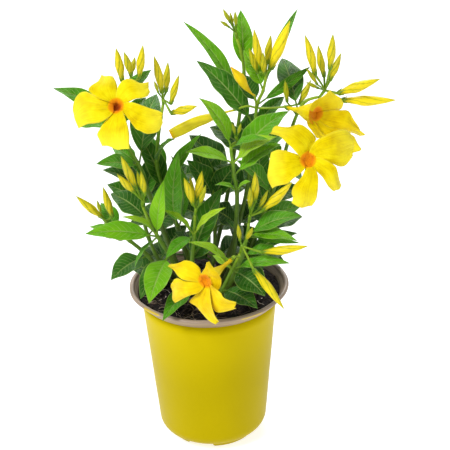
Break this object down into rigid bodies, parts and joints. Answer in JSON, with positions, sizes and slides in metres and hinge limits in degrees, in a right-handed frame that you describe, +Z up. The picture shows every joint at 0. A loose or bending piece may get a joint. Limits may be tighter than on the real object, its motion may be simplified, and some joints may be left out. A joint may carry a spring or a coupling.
{
  "type": "potted mandevilla plant",
  "caption": "Bushy climbing plant with open yellow pinwheel flowers and pointed buds, in a tapered round nursery pot with a rolled rim.",
  "frame": {"origin": "middle of the flat pad under the pot's floor, on the surface that the pot stands on", "axes": "+Z up along the pot's axis; -Y towards the front of the plant as it is shown; +X towards its right"},
  "size_m": [0.3285, 0.2037, 0.4484],
  "materials": {
    "pot_yellow": "satin",
    "liner_taupe": "satin",
    "soil_dark": "matte",
    "foliage": "satin",
    "petal_yellow": "satin",
    "bud_yellow": "satin"
  },
  "bodies": {
    "root": {"bloom_front": "petal_yellow", "bloom_half_open": "petal_yellow", "bloom_left": "petal_yellow", "bloom_right_high": "petal_yellow", "bloom_right_low": "petal_yellow", "bloom_rolled": "petal_yellow", "buds_centre": "bud_yellow", "buds_centre_right": "bud_yellow", "buds_front": "bud_yellow", "buds_left_fork": "bud_yellow", "buds_left_low": "bud_yellow", "buds_left_mid": "bud_yellow", "buds_left_top": "bud_yellow", "buds_right": "bud_yellow", "buds_right_low": "bud_yellow", "buds_right_pair": "bud_yellow", "buds_tall_back": "bud_yellow", "buds_tall_middle": "bud_yellow", "pot": "pot_yellow", "pot_liner": "liner_taupe", "shoot_back_left": "foliage", "shoot_back_right": "foliage", "shoot_centre": "foliage", "shoot_centre_right": "foliage", "shoot_front": "foliage", "shoot_inner": "foliage", "shoot_inner_left": "foliage", "shoot_inner_right": "foliage", "shoot_left_fork": "foliage", "shoot_left_low": "foliage", "shoot_left_mid": "foliage", "shoot_left_top": "foliage", "shoot_right": "foliage", "shoot_right_low": "foliage", "shoot_tall_back": "foliage", "shoot_tall_middle": "foliage", "soil": "soil_dark"}
  },
  "joints": []
}
